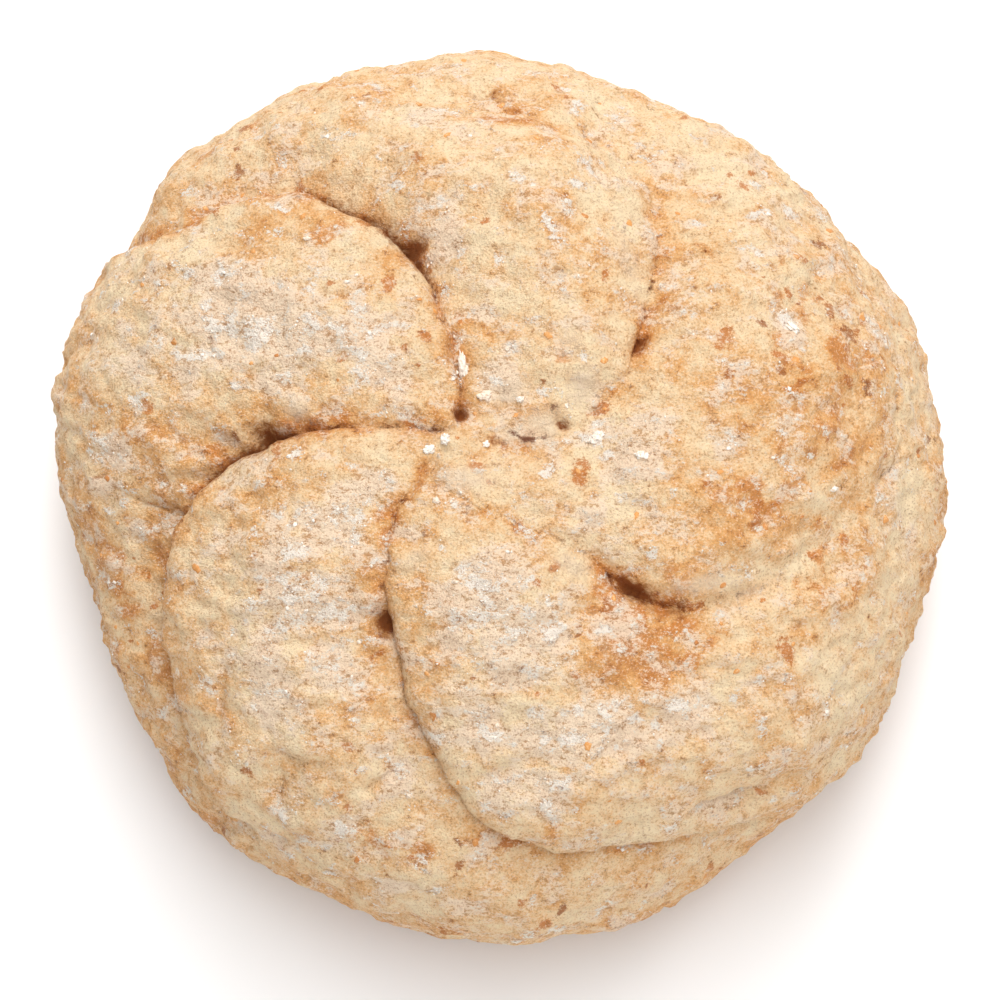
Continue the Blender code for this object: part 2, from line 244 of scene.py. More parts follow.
def fold(root, bow, pit, leaves, arrives, rim, depth, rise, drop, lip, dark, over, under, run_on,
         roundness=2.0, valley=1.0):
    """One fold of the pinwheel: from its root by the hub to a pit, then round its lobe to the rim.

    root is an offset from the hub, pit and rim are a reach and a bearing, bow is how far the first run
    bends to its left, and leaves and arrives are a heading and a pull for the second. valley is how much
    of the lobes' swelling is missing along it.
    """
    start, corner, end = HUB + MM * np.array(root), from_hub(*pit), from_hub(*rim)
    along = corner - start
    left = np.array((-along[1], along[0])) / np.linalg.norm(along)
    inner = bezier(start, 0.5 * (start + corner) + 2.0 * bow * MM * left, corner, count=50)
    leave, arrive = from_hub(leaves[1], leaves[0]) - HUB, from_hub(arrives[1], arrives[0]) - HUB
    plan = np.concatenate([inner, bezier(corner, corner + leave, end - arrive, end)[1:]])
    sizes = (depth, rise, drop, lip, dark, over, under, roundness, run_on)
    return Crease(plan, len(inner) - 1, *sizes, valley * LOBE_SWELL, FOLD_STEP_WIDTH)


def tuck(start, middle, end, depth, rise=0.0, drop=0.0, dark=0.3, over=3.5, under=4.5):
    """A short crease through three points, each a reach and a bearing, that fades out at both ends."""
    start, middle, end = from_hub(*start), from_hub(*middle), from_hub(*end)
    plan = bezier(start, 2.0 * middle - 0.5 * (start + end), end, count=40)
    sizes = ((0.0, 0.8 * size, size, 0.9 * size, 0.3 * size) for size in (depth, rise, drop, 0.0, dark))
    return Crease(plan, 18, *sizes, over, under, 2.0, 1.0, 0.0, TUCK_STEP_WIDTH)


FOLDS = (
    # The upper left lobe over the tail of the top one.
    fold(root=(0.0, 0.3), bow=-1.6, pit=(20.6, 104), leaves=(139, 24.5), arrives=(177, 13), rim=(45.4, 148.5),
         depth=(1.6, 2.4, 4.4, 3.4, 2.2), rise=(0.0, 0.3, 0.6, 1.0, 0.9), drop=(0.0, 0.6, 1.6, 2.2, 1.4),
         lip=(0.0, 0.3, 0.7, 0.4, 0.1), dark=(0.6, 0.5, 0.9, 1.0, 1.0),
         over=3.4, under=3.4, run_on=16),
    # The lower left lobe over the tail of the upper left one.
    fold(root=(0.0, 0.0), bow=-0.9, pit=(20.4, 182), leaves=(200, 22), arrives=(300, 8), rim=(47.4, 235.3),
         depth=(1.4, 2.2, 4.6, 3.8, 2.6), rise=(0.0, 0.2, 0.8, 1.3, 1.2), drop=(0.0, 0.2, 1.4, 2.4, 2.2),
         lip=(0.0, 0.3, 0.8, 1.0, 0.6), dark=(0.6, 0.7, 1.0, 0.9, 0.6),
         over=3.6, under=3.2, run_on=14),
    # The bottom lobe over the tail of the lower left one.
    fold(root=(-1.9, -2.4), bow=-2.6, pit=(23.5, 252), leaves=(281, 26), arrives=(20, 22.5), rim=(52.6, 308),
         depth=(1.2, 1.5, 2.4, 2.6, 2.0), rise=(0.0, 0.3, 0.8, 1.2, 0.9), drop=(0.0, 0.4, 1.2, 1.6, 1.0),
         lip=(0.0, 0.2, 0.3, 0.7, 0.6), dark=(0.4, 0.6, 0.45, 0.4, 0.7),
         over=3.4, under=3.0, run_on=14),
    # The right lobe over the tail of the bottom one.
    fold(root=(-1.9, -8.2), bow=1.2, pit=(24.2, 317), leaves=(277, 7.8), arrives=(119, 40.6),
         rim=(43.7, 22.5),
         depth=(0.6, 1.0, 2.6, 1.0, 0.5), rise=(0.0, 0.2, 0.6, 0.4, 0.1), drop=(0.0, 0.2, 0.8, 0.3, 0.2),
         lip=(0.0, 0.2, 0.4, 0.0, 0.0), dark=(0.3, 0.3, 1.0, 0.3, 0.0),
         over=5.5, under=3.0, run_on=6, roundness=1.25, valley=0.4),
    # The top lobe over the tail of the right one.
    fold(root=(0.4, 1.3), bow=-5.6, pit=(22, 25), leaves=(73, 41), arrives=(119, 15), rim=(45, 102),
         depth=(0.8, 1.2, 2.4, 1.2, 0.6), rise=(0.0, 0.3, 0.6, 0.4, 0.2), drop=(0.0, 0.3, 0.8, 0.5, 0.3),
         lip=(0.0, 0.2, 0.5, 0.0, 0.0), dark=(0.2, 0.2, 0.7, 0.0, 0.0),
         over=5.0, under=5.5, run_on=8, roundness=1.2, valley=0.8),
)

TUCKS = (
    # Left side, where the upper left lobe's tail goes down past the lower left one.
    tuck((41.3, 188), (36.1, 193), (32.1, 200), depth=1.6, rise=0.6, drop=0.6),
    tuck((42.1, 161), (44.8, 165), (47.2, 170), depth=0.9, over=5.0, under=5.0),
    tuck((39.3, 201), (38.1, 202), (36.7, 204), depth=0.7, over=2.0, under=2.5),
    tuck((41.4, 207), (40.1, 209), (38.8, 211), depth=0.7, over=2.0, under=2.5),
    tuck((45.4, 219), (44.1, 221), (42.8, 222), depth=0.7, over=2.0, under=2.5),
    # Top, where the top lobe turns down to the rim.
    tuck((38.3, 92), (40.6, 99), (38.1, 107), depth=1.3, rise=0.4, drop=0.4),
    tuck((39.2, 73), (39.6, 84), (40.4, 95), depth=2.2, rise=0.3, drop=0.6, dark=0.5),
    # Right side, on the tails of the right and top lobes.
    tuck((37.7, 32), (36.2, 35), (34.9, 38), depth=1.1, over=2.5, under=3.0),
    tuck((53.0, 359), (49.4, 356), (48.1, 353), depth=1.6, rise=0.4, drop=0.6),
    # Bottom, in the toe of the lower left lobe and on the bottom lobe.
    tuck((42.7, 231), (40.4, 228), (37.5, 225), depth=1.0),
    tuck((41.7, 238), (41.0, 243), (39.8, 248), depth=1.4, rise=0.5, drop=0.4),
    tuck((42.6, 242), (44.4, 243), (46.4, 243), depth=1.0, over=2.5, under=3.0),
    tuck((42.2, 254), (40.4, 257), (37.5, 261), depth=1.3, rise=0.4, drop=0.4),
    tuck((49.6, 300), (50.5, 308), (53.0, 316), depth=2.4, dark=0.1, over=6.0, under=6.0),
)

# Hair cracks that open where dough was pressed together and dried, by the hub and on the lobes.
CRACKS = (
    # The edge of the little flap right of the hub, and the fold of skin above it.
    tuck((5.0, 6), (8.0, 352), (11.6, 3), depth=0.9, rise=0.4, drop=0.2, dark=0.8, over=1.2, under=1.6),
    tuck((10.0, 30), (10.9, 15), (11.5, 4), depth=0.5, dark=0.5, over=0.9, under=0.9),
    # From the bottom lobe's root across to the right lobe's.
    tuck((3.0, 228), (6.8, 238), (9.2, 238), depth=0.7, over=0.9, under=1.1),
    tuck((4.2, 262), (7.9, 276), (10.6, 297), depth=0.5, over=1.0, under=1.2),
    # The short creases on the right side.
    tuck((44.0, 14), (46.2, 9), (45.4, 3), depth=0.9, rise=0.3, over=1.4, under=1.8),
    tuck((45.8, 4), (43.6, 358), (45.0, 352), depth=0.7, over=1.2, under=1.4),
    tuck((50.4, 12), (50.9, 6), (51.6, 0), depth=0.7, over=1.2, under=1.4),
    tuck((26.0, 44), (28.0, 46), (31.0, 44), depth=0.6, over=1.0, under=1.4),
    tuck((41.0, 26), (44.5, 23), (46.5, 18), depth=0.8, rise=0.2, over=1.6, under=2.0),
    # On the left and bottom lobes.
    tuck((36.8, 187), (34.2, 193), (31.4, 196), depth=0.6, over=1.0, under=1.2),
    tuck((29.5, 154), (30.4, 158), (30.1, 162), depth=0.4, over=0.8, under=0.9),
    tuck((33.5, 318), (36.0, 312), (38.0, 308), depth=0.5, over=1.2, under=1.2),
)

CREASES = FOLDS + TUCKS + CRACKS

# Small deep hollows, as reach and bearing from the hub, half length, half width, heading and depth.
# Each hollow is also painted with shade, more fully the deeper it is.
HOLLOWS = (
    (22.6, 104.5, 2.0, 1.1, 10, 2.2),
    (22.5, 182, 2.3, 1.3, 75, 2.4),
    (22.9, 249.2, 1.6, 1.2, 80, 2.4),
    (26.4, 318.0, 2.6, 1.1, 330, 2.8),
    (30.6, 320.2, 2.4, 1.0, 335, 0.9),
    (22.8, 26, 1.6, 0.6, 55, 1.4),
    (1.9, 84, 0.7, 0.8, 0, 2.2),
    (3.9, 345, 1.4, 1.0, 330, 0.8),
    (11.6, 4, 0.6, 0.9, 60, 1.6),
    (40.0, 84, 4.6, 1.2, 352, 0.7),
)

# Lumps of the crust as the dough rose and finer wrinkles of its dry skin, as wavelength and height, how near
# the foot's edge they settle, and the grain that the hearth leaves under it.
LUMPS = ((24.0 * MM, 0.9 * MM), (9.0 * MM, 0.45 * MM))
WRINKLES = ((4.2 * MM, 0.34 * MM), (2.0 * MM, 0.24 * MM), (1.0 * MM, 0.14 * MM))
SETTLE = 9.0 * MM
HEARTH_GRAIN = 0.25 * MM

# The skin's mesh: rings of points from the top to the waist, to the foot's edge and in under the foot, and
# how hard and from how far off a crease draws its points in.
CROWN_RINGS = 156
FLANK_RINGS = 34
FOOT_RINGS = 39
DRAW_IN_POWER = 1.6
DRAW_IN_WIDTH = 2.4 * MM


def rounded_shoulder(distance, width, roundness):
    """0 at the crease and 1 past its shoulder, which is straight at roundness 1 and a quarter circle at 2."""
    across = np.clip(np.hypot(distance / width, CREASE_SOFTNESS), 0.0, 1.0)
    return (1.0 - (1.0 - across) ** roundness) ** (1.0 / roundness)


def ring_points(arc, count):
    """Evenly spread points round one ring of the sheet."""
    bearing = 2.0 * math.pi * np.arange(count) / count
    return arc * np.stack([np.cos(bearing), np.sin(bearing)], axis=1)


def stitch(first_in, count_in, first_out, count_out):
    """Triangles between a ring of points and the next one out, whatever their counts."""
    step = np.arange(count_out)
    facing = ((2 * step + 1) * count_in + count_out - 1) // (2 * count_out) % count_in
    faces = [np.stack([first_in + facing, first_out + step, first_out + (step + 1) % count_out], axis=1)]
    if count_in > 1:
        step = np.arange(count_in)
        facing = ((2 * step + 1) * count_out + count_in) // (2 * count_in) % count_out
        ahead = (step + 1) % count_in
        faces.append(np.stack([first_in + step, first_out + facing, first_in + ahead], axis=1))
    return np.concatenate(faces)


def crust_sheet():
    """The sheet's points and triangles. Rings have six more points each on the crown, and fewer below."""
    waist_count = 6 * CROWN_RINGS
    rings = [(WAIST_ARC * ring / CROWN_RINGS, 6 * ring) for ring in range(1, CROWN_RINGS + 1)]
    rings += [(arc, waist_count // 2) for arc in np.linspace(WAIST_ARC, FOOT_ARC, FLANK_RINGS + 1)[1:]]
    under = np.linspace(FOOT_ARC, ARC[-1], FOOT_RINGS + 2)[1:-1]
    rings += [(arc, 6 * (FOOT_RINGS - ring)) for ring, arc in enumerate(under)]
    points, faces, first, count = [np.zeros((1, 2))], [], 0, 1
    for arc, next_count in rings:
        points.append(ring_points(arc, next_count))
        faces.append(stitch(first, count, first + count, next_count))
        first, count = first + count, next_count
    points.append(np.array([(ARC[-1], 0.0)]))
    faces.append(stitch(first + count, 1, first, count)[:, ::-1])
    return np.concatenate(points), np.concatenate(faces)


def draw_in(sheet):
    """Moves the points of the sheet towards the creases, so that the skin has edges where it bends."""
    for crease in CREASES:
        which, distance, closest = crease.nearest(sheet, DRAW_IN_WIDTH)
        pull = crease.fade[closest] * (1.0 - (np.abs(distance) / DRAW_IN_WIDTH) ** (DRAW_IN_POWER - 1.0))
        sheet[which] += pull[:, None] * (crease.points[closest] - sheet[which])
    return sheet


def soft_spot(sheet, reach, bearing, half_length, half_width, heading, lift=0.0):
    """1 in the middle of a soft oval spot on the sheet, falling smoothly to nothing round it."""
    middle = unroll(from_hub(reach, bearing)[None, :], lift)[0]
    turn = math.radians(heading)
    along = (sheet - middle) @ np.array((math.cos(turn), math.sin(turn)))
    across = (sheet - middle) @ np.array((-math.sin(turn), math.cos(turn)))
    return np.exp(-((along / (half_length * MM)) ** 2) - (across / (half_width * MM)) ** 2)


def folded(sheet):
    """How far the skin stands off the body, where lips slide it, and its painted shade at seams and hollows.
    """
    groove, level, seam_shade, hollow, crease_shade = np.zeros((5, len(sheet)))
    swell, slid = np.full(len(sheet), LOBE_SWELL), sheet.copy()
    for crease in CREASES:
        which, distance, closest = crease.nearest(sheet, WIDEST)
        over = distance > 0.0
        shoulder = rounded_shoulder(distance, np.where(over, crease.over, crease.under), crease.roundness)
        depth = crease.depth[closest]
        groove[which] = np.maximum(groove[which], depth * (1.0 - shoulder))
        step = np.where(over, crease.rise[closest], -crease.drop[closest])
        level[which] += step * shoulder * np.exp(-((distance / crease.step_width) ** 2))
        across = np.clip(distance / crease.over, 0.0, 1.0)
        slide = LIP_PEAK * crease.lip[closest] * across * (1.0 - across) ** 2
        slide /= np.maximum(np.abs(distance), LEAST_DISTANCE)
        slid[which] += (crease.points[closest] - sheet[which]) * slide[:, None]
        valley = crease.valley[closest] * np.exp(-((distance / LOBE_SWELL_WIDTH) ** 2))
        swell[which] *= 1.0 - valley / LOBE_SWELL
        dark = crease.dark[closest]
        fading = crease.fade[closest] * dark
        deepness = np.clip(depth / DEEP_CREASE, 0.0, 1.0) ** 2
        for amount, strength, width in (
            (seam_shade, fading, SEAM_SHADE_WIDTH),
            (hollow, dark * deepness, SHADE_WIDTH),
            (crease_shade, fading, np.where(over, *CREASE_SHADE_WIDTHS)),
        ):
            amount[which] = np.maximum(amount[which], strength * np.exp(-((distance / width) ** 2)))
    dip = HUB_DIP * np.exp(-((sheet - HUB) ** 2).sum(axis=1) / HUB_DIP_RADIUS**2)
    for reach, bearing, half_length, half_width, heading, depth in HOLLOWS:
        spot = soft_spot(sheet, reach, bearing, half_length, half_width, heading)
        dip += depth * MM * spot
        hollow = np.maximum(hollow, spot * min(1.0, depth / 2.0))
    return swell - dip - groove + level, slid, seam_shade, hollow, crease_shade


def put_in_scene(name, shape):
    """A new object in the scene."""
    made = bpy.data.objects.new(name, shape)
    bpy.context.scene.collection.objects.link(made)
    return made


def crust_relief(sheet, seam_shade):
    """The lumps and wrinkles of the skin, which die away over the foot, and the hearth's grain under it."""
    bare = lay_over_body(sheet, 0.0)
    arc = np.hypot(sheet[:, 0], sheet[:, 1])
    lift = sum(size * lumps(bare, wave) for wave, size in LUMPS)
    dry = 1.0 - 0.6 * seam_shade
    lift += dry * sum(size * lumps(bare, wave, stretch=(1.3, 0.8, 1.0)) for wave, size in WRINKLES)
    under = np.clip((arc - FOOT_ARC) / SETTLE, 0.0, 1.0)
    return lift - HEARTH_GRAIN * under * (1.0 + lumps(bare, 4.0 * MM))


sheet, faces = crust_sheet()
sheet = draw_in(sheet)
lift, slid, seam_shade, hollow, crease_shade = folded(sheet)
# The painted shade of the seams comes and goes along them.
seam_shade *= 0.75 + 0.45 * lumps(lay_over_body(sheet, 0.0), 3.0 * MM, start=(0.0, 2.0, 0.0))
arc = np.hypot(sheet[:, 0], sheet[:, 1])
lift *= np.clip((FOOT_ARC - arc) / SETTLE, 0.0, 1.0)
above_foot = np.clip((FOOT_ARC - arc) / (0.5 * SETTLE), 0.0, 1.0)
relief = crust_relief(sheet, seam_shade)
lift += np.where(arc < FOOT_ARC, above_foot, 1.0) * relief
points = lay_over_body(slid, lift)
cad_middle = 0.5 * (np.array(cad_box[0]) + np.array(cad_box[1]))
points[:, :2] += cad_middle[:2] - 0.5 * (points.min(axis=0) + points.max(axis=0))[:2]

crust_mesh = bpy.data.meshes.new("crust")
crust_mesh.from_pydata(points.tolist(), [], faces.tolist())
crust_mesh.update()
crust_mesh.shade_smooth()
crust = put_in_scene("crust", crust_mesh)

# Where flour lies thick, as reach and bearing from the hub, half length, half width, heading and amount.
FLOUR_PATCHES = (
    # Upper left lobe.
    (27.0, 151, 12.0, 7.5, 170, 0.75), (33.0, 160, 6.0, 5.0, 150, 0.55), (15.0, 138, 6.0, 5.0, 120, 0.6),
    (21.5, 165, 4.0, 2.2, 160, 0.75), (8.5, 146, 3.5, 2.5, 90, 0.6), (38.0, 168, 5.0, 5.0, 90, 0.5),
    (31.0, 146, 3.5, 2.5, 150, 0.5), (40.5, 181, 3.0, 4.0, 60, 0.55),
    # Lower left lobe.
    (20.5, 216, 9.0, 4.5, 20, 0.65), (27.0, 226, 8.0, 4.5, 15, 0.6), (31.0, 210, 4.5, 6.0, 90, 0.3),
    (34.5, 232, 7.0, 4.5, 110, 0.65), (13.5, 212, 4.5, 2.2, 20, 0.7), (31.0, 242, 3.5, 5.0, 120, 0.6),
    (24.5, 235, 4.5, 2.5, 5, 0.75),
    # Bottom lobe.
    (18.5, 279, 5.0, 5.5, 90, 0.75), (25.5, 287, 6.5, 5.0, 40, 0.75), (32.5, 272, 4.5, 5.0, 100, 0.75),
    (36.0, 292, 10.0, 3.8, 8, 0.75), (39.5, 309, 8.0, 3.5, 20, 0.6), (29.0, 308, 5.0, 3.5, 30, 0.45),
    (40.5, 282, 6.0, 3.0, 0, 0.65), (23.5, 266, 2.0, 3.5, 90, 0.55),
    # Right lobe.
    (20.0, 347, 4.5, 3.5, 20, 0.7), (15.8, 359, 3.2, 1.8, 25, 0.8), (22.0, 1, 3.5, 3.0, 0, 0.6),
    (19.5, 336, 4.5, 2.2, 10, 0.5), (38.8, 18, 2.2, 1.6, 130, 0.95), (29.5, 6, 4.5, 3.0, 0, 0.3),
    (49.4, 16, 3.2, 1.1, 125, 0.7), (51.0, 356, 2.6, 1.6, 90, 0.5),
    # Top lobe.
    (7.9, 56, 4.0, 2.6, 45, 0.75), (24.0, 94, 2.2, 5.5, 170, 0.6), (31.5, 73, 5.5, 2.4, 10, 0.4),
    (15.0, 82, 3.0, 3.0, 0, 0.35), (37.8, 97, 2.6, 1.6, 20, 0.9), (19.0, 50, 1.6, 5.0, 20, 0.45),
    # The tails round the bottom.
    (40.6, 260, 3.5, 2.5, 60, 0.6), (47.6, 252, 3.5, 2.5, 20, 0.5), (50.3, 263, 4.5, 1.4, 0, 0.7),
    (41.8, 186, 2.2, 1.6, 30, 0.6),
)

# Where bran shows most through the skin: the tails, the right side and the folds' edges.
# The narrow patch at the top dent darkens it partly as painted shade.
BRAN_AND_SHADE_PATCHES = (
    (43.0, 12, 16.0, 10.0, 100, 0.8), (36.0, 40, 13.0, 8.0, 130, 0.4), (27.0, 62, 4.5, 9.0, 0, 0.4),
    (43.0, 203, 9.0, 5.0, 100, 0.8), (46.0, 304, 14.0, 6.0, 35, 0.3), (30.5, 316, 9.0, 6.0, 340, 1.2),
    (47.0, 262, 15.0, 5.0, 0, 0.6), (45.0, 124, 14.0, 4.0, 30, 0.5), (27.0, 119, 6.0, 2.5, 40, 0.7),
    (29.5, 183, 5.0, 3.0, 30, 0.7), (23.0, 344, 8.0, 3.0, 5, 0.5), (33.0, 345, 9.0, 4.0, 5, 0.8),
    (27.0, 254, 4.0, 7.0, 0, 0.6), (35.0, 300, 8.0, 4.0, 20, 0.3), (44.0, 340, 6.0, 8.0, 0, 0.7),
    (39.8, 137, 4.5, 1.4, 35, 1.0), (35.0, 127, 5.0, 1.4, 5, 1.0), (38.3, 83, 5.2, 1.2, 352, 1.0),
    (14.2, 34, 1.6, 1.4, 0, 1.0), (14.0, 19, 1.4, 1.2, 0, 0.9), (12.0, 295, 1.6, 1.2, 0, 0.8),
)

# Where the skin baked to gold, at the edges of the lobes and down towards the foot.
# The narrow patch at the top dent is partly painted shade in the dent.
GOLD_AND_SHADE_PATCHES = (
    (31.0, 127, 9.0, 3.0, 25, 0.8), (22.0, 112, 5.0, 3.0, 60, 0.6), (30.0, 182, 8.0, 4.0, 30, 0.8),
    (24.0, 171, 4.0, 3.0, 0, 0.5), (37.0, 344, 9.0, 3.5, 5, 0.9), (30.0, 316, 7.0, 5.0, 330, 0.8),
    (27.5, 250, 3.5, 8.0, 5, 0.7), (24.0, 45, 3.0, 6.0, 20, 0.5), (26.0, 200, 4.0, 6.0, 60, 0.5),
    (18.0, 160, 3.0, 2.0, 0, 0.6), (45.0, 110, 10.0, 3.0, 10, 0.2), (27.0, 62, 4.0, 8.0, 0, 0.2),
    (44.0, 205, 8.0, 5.0, 100, 0.6), (38.0, 182, 4.0, 9.0, 0, 0.7), (30.0, 187, 4.0, 5.0, 20, 0.6),
    (34.0, 196, 3.0, 6.0, 100, 0.6), (34.0, 318, 9.0, 6.0, 330, 0.7), (42.0, 320, 6.0, 10.0, 320, 0.45),
    (30.0, 345, 8.0, 5.0, 0, 0.5), (45.0, 345, 5.0, 9.0, 345, 0.4), (42.0, 215, 8.0, 4.0, 110, 0.7),
    (20.0, 196, 6.0, 3.0, 20, 0.4), (36.0, 172, 6.0, 5.0, 90, 0.4), (21.0, 250, 3.0, 5.0, 0, 0.4),
    (35.0, 100, 10.0, 2.5, 10, 0.2), (18.0, 52, 3.0, 5.0, 30, 0.3), (38.3, 83, 5.2, 1.1, 352, 1.6),
    (38.0, 180, 7.0, 8.0, 90, 0.9), (33.0, 192, 6.0, 6.0, 100, 0.8), (31.5, 312, 8.0, 6.0, 330, 1.4),
    (42.0, 2, 9.0, 16.0, 0, 0.7),
    (23.0, 264, 3.0, 7.0, 0, 0.8), (32.0, 8, 6.0, 8.0, 0, 0.6), (28.0, 344, 6.0, 5.0, 0, 0.7),
    (40.0, 203, 8.0, 5.0, 105, 1.2), (44.0, 196, 9.0, 3.0, 100, 1.1), (45.0, 216, 6.0, 3.0, 120, 1.0),
    (39.8, 137, 4.5, 1.1, 35, 1.1), (35.0, 127, 5.0, 1.1, 5, 1.1), (30.0, 117, 3.0, 1.2, 335, 1.0),
)

# Smooth, paler dough from inside the fold that never dried in the oven.
INNER_PATCHES = (
    (9.4, 3, 3.0, 2.4, 30, 1.1), (7.5, 38, 3.0, 1.8, 25, 0.8), (5.8, 278, 3.6, 1.8, 355, 0.85),
    (14.8, 20, 2.8, 2.0, 60, 0.9), (6.4, 355, 3.4, 1.2, 350, 0.9), (28.0, 46, 1.6, 6.0, 15, 0.6),
    (20.0, 310, 3.2, 1.6, 330, 0.75), (16.0, 40, 2.0, 3.6, 0, 0.6), (32.5, 328, 5.0, 1.3, 5, 0.8),
    (19.0, 172, 2.0, 1.6, 0, 0.8), (6.0, 180, 5.0, 0.7, 178, 0.4), (15.5, 252, 2.2, 1.4, 40, 0.6),
    (37.5, 331, 3.5, 1.0, 20, 0.6), (3.0, 200, 1.6, 1.0, 30, 0.5), (24.2, 251, 1.2, 2.4, 0, 0.7),
)


# How far out a spot has faded away, against its half length and half width.
SPOT_FADE = 1.6


def patches(sheet, spots, least=0.0):
    """The amount at each point of the sheet, from the strongest patch that reaches it."""
    amount = np.full(len(sheet), least)
    for *place, strength in spots:
        amount = np.maximum(amount, strength * soft_spot(sheet, *place, lift=LOBE_SWELL))
    return amount


def store(mesh, name, values):
    """Keeps one number for each point of a mesh under a name that its material reads."""
    mesh.attributes.new(name, "FLOAT", "POINT").data.foreach_set("value", values.astype(np.float32))


def spotted(sheet, spots):
    """How near the middle of an oval spot each point lies, from 1 down to 0 past its edge, and its tone."""
    nearness, tone = np.zeros((2, len(sheet)))
    for middle, half_length, half_width, heading, shade in spots:
        which = np.nonzero((np.abs(sheet - middle) < SPOT_FADE * half_length).all(axis=1))[0]
        along = (sheet[which] - middle) @ np.array((math.cos(heading), math.sin(heading)))
        across = (sheet[which] - middle) @ np.array((-math.sin(heading), math.cos(heading)))
        near = SPOT_FADE - np.hypot(along / half_length, across / half_width)
        near = np.clip(near, 0.0, SPOT_FADE) / SPOT_FADE
        nearer = near > nearness[which]
        nearness[which[nearer]], tone[which[nearer]] = near[nearer], shade
    return nearness, tone


def point_areas():
    """The area of crust round each point, so that scattering doesn't favour the fine mesh at the creases."""
    sides = points[faces[:, 1:]] - points[faces[:, :1]]
    thirds = np.linalg.norm(np.cross(sides[:, 0], sides[:, 1]), axis=1) / 6.0
    return sum(np.bincount(faces[:, corner], weights=thirds, minlength=len(points)) for corner in range(3))


# Where along the flank the skin starts to brown towards the foot, and over how far, as shares of the arc.
BROWNING_START = 0.8
BROWNING_SPAN = 0.35

# Spots of bran in the skin, many small and some large, which lie where the bran shows most.
SMALL_BRAN_SPOTS = 420
SMALL_BRAN_SIZES = (0.4 * MM, 1.1 * MM)
LARGE_BRAN_SPOTS = 70
LARGE_BRAN_SIZES = (1.0 * MM, 1.7 * MM)

random.seed(51)
bare = lay_over_body(sheet, 0.0)
broad, middling = lumps(bare, 9.0 * MM), lumps(bare, 3.6 * MM, start=(3.0, 0.0, 0.0))
small, smaller = lumps(bare, 2.0 * MM, start=(0.0, 5.0, 0.0)), lumps(bare, 1.2 * MM, start=(7.0, 0.0, 0.0))
streaks = lumps(bare, 2.4 * MM, stretch=(1.5, 0.7, 1.0), start=(0.0, 9.0, 0.0))
towards_foot = np.clip((arc / WAIST_ARC - BROWNING_START) / BROWNING_SPAN, 0.0, 1.0)
foot = np.clip((arc - FOOT_ARC + 0.5 * MM) / (2.5 * MM), 0.0, 1.0)
clear = (1.0 - foot) * (1.0 - hollow)

gold_and_shade = np.maximum(patches(sheet, GOLD_AND_SHADE_PATCHES), 0.7 * towards_foot)
# Painted shade beside the creases is added into the golden tone here and into the stain below.
gold_and_shade = np.maximum(gold_and_shade, 1.3 * crease_shade)
tone = 0.3 + 0.14 * broad + 0.16 * middling + 0.12 * small + 0.1 * smaller + 0.55 * gold_and_shade
bran = np.maximum(patches(sheet, BRAN_AND_SHADE_PATCHES, least=0.25), 0.6 * towards_foot)
stain_and_shade = np.maximum(bran, 1.2 * crease_shade) * (0.7 + 0.5 * middling + 0.5 * small + 0.3 * smaller)
flour = patches(sheet, FLOUR_PATCHES, least=0.15) * (1.0 - 0.85 * towards_foot)
flour_veil = 1.25 * flour + 0.2 * middling + 0.22 * streaks + 0.16 * smaller
flour_cake = 0.75 * flour - 0.14 + 0.3 * streaks + 0.25 * small + 0.25 * smaller
areas = point_areas()
weights = areas * bran**1.5 * clear
spot_count = SMALL_BRAN_SPOTS + LARGE_BRAN_SPOTS
chosen = np.random.default_rng(5).choice(len(sheet), spot_count, False, weights / weights.sum())
spots = []
for number, index in enumerate(chosen):
    sizes = SMALL_BRAN_SIZES if number < SMALL_BRAN_SPOTS else LARGE_BRAN_SIZES
    size = random.uniform(*sizes) * random.uniform(0.6, 1.0)
    narrow, heading = size * random.uniform(0.45, 0.9), random.uniform(0.0, math.pi)
    spots.append((sheet[index], size, narrow, heading, random.random()))
bran_spot, bran_tone = spotted(sheet, spots)
for name, amount in (
    ("tone", tone), ("stain_and_shade", stain_and_shade), ("bran_spot", bran_spot * (1.0 - foot)), ("bran_tone", bran_tone),
    ("flour_veil", flour_veil * clear), ("flour_cake", flour_cake * clear),
    ("inner", patches(sheet, INNER_PATCHES) * (1.0 - hollow)),
    ("seam_shade", seam_shade), ("hollow", hollow), ("foot", foot),
):
    store(crust_mesh, name, amount)


# The colours of the crust.
PALE_CREAM = (255, 229, 188)
CREAM = (250, 211, 162)
GOLD = (238, 176, 108)
TOAST = (206, 132, 66)
STAIN_AND_SHADE = (220, 138, 62)
BRAN = (206, 120, 46)
DARK_BRAN = (140, 70, 22)
THIN_FLOUR = (254, 228, 200)
FLOUR = (255, 244, 230)
DRIED_SKIN = (196, 148, 106)
GRAIN_SHADE = (190, 138, 92)
GRAIN_HIGHLIGHT = (255, 231, 199)
INNER_DOUGH = (242, 218, 188)
PAINTED_SEAM_SHADE = (112, 52, 16)
HOLLOW_SHADE = (150, 80, 28)
HEARTH_BROWN = (176, 118, 66)


def paint(colour):
    """A colour of 0 to 255 a channel, as it looks on a screen, in the shader's linear terms."""
    return (*(((part / 255.0 + 0.055) / 1.055) ** 2.4 for part in colour), 1.0)


def put(tree, kind, sockets=None, **settings):
    """Adds a node, makes its settings, and sets or joins its sockets."""
    made = tree.nodes.new(kind)
    for name, value in settings.items():
        setattr(made, name, value)
    for name, value in (sockets or {}).items():
        if isinstance(value, bpy.types.NodeSocket):
            tree.links.new(value, made.inputs[name])
        else:
            made.inputs[name].default_value = value
    return made


def sums(tree, operation, first, second, limit=False):
    """Two values joined by one sum."""
    return put(tree, "ShaderNodeMath", {0: first, 1: second}, operation=operation, use_clamp=limit).outputs[0]


